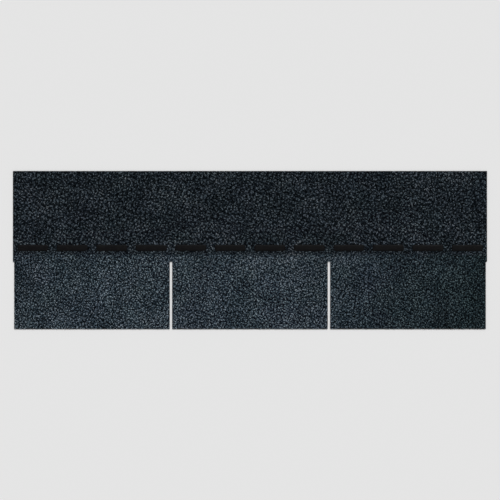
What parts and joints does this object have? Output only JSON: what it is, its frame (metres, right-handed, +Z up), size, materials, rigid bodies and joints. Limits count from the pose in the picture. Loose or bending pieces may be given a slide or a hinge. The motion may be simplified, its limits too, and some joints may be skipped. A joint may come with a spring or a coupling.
{
  "type": "three-tab asphalt strip shingle",
  "caption": "Flat rectangular roof shingle with tabs parted by narrow slots, a mineral-granule face and a broken self-seal strip; laid in overlapping courses to shed water.",
  "frame": {"origin": "middle of the underside, on the level the shingle lies on", "axes": "+X along the butt edge, +Y up the slope from the butt edge with its tabs to the top edge, +Z up out of the granule face"},
  "size_m": [0.9144, 0.3048, 0.0034],
  "materials": {
    "granule_sheet": "matt slate blue-grey ceramic granules bedded in black asphalt",
    "sealant": "smooth, half-gloss tacky black asphalt",
    "release_film": "thin clear film over dark coating, slightly wrinkled"
  },
  "bodies": {
    "root": {"shingle": "granule_sheet", "seal_strip": "sealant", "release_film": "release_film"}
  },
  "joints": []
}
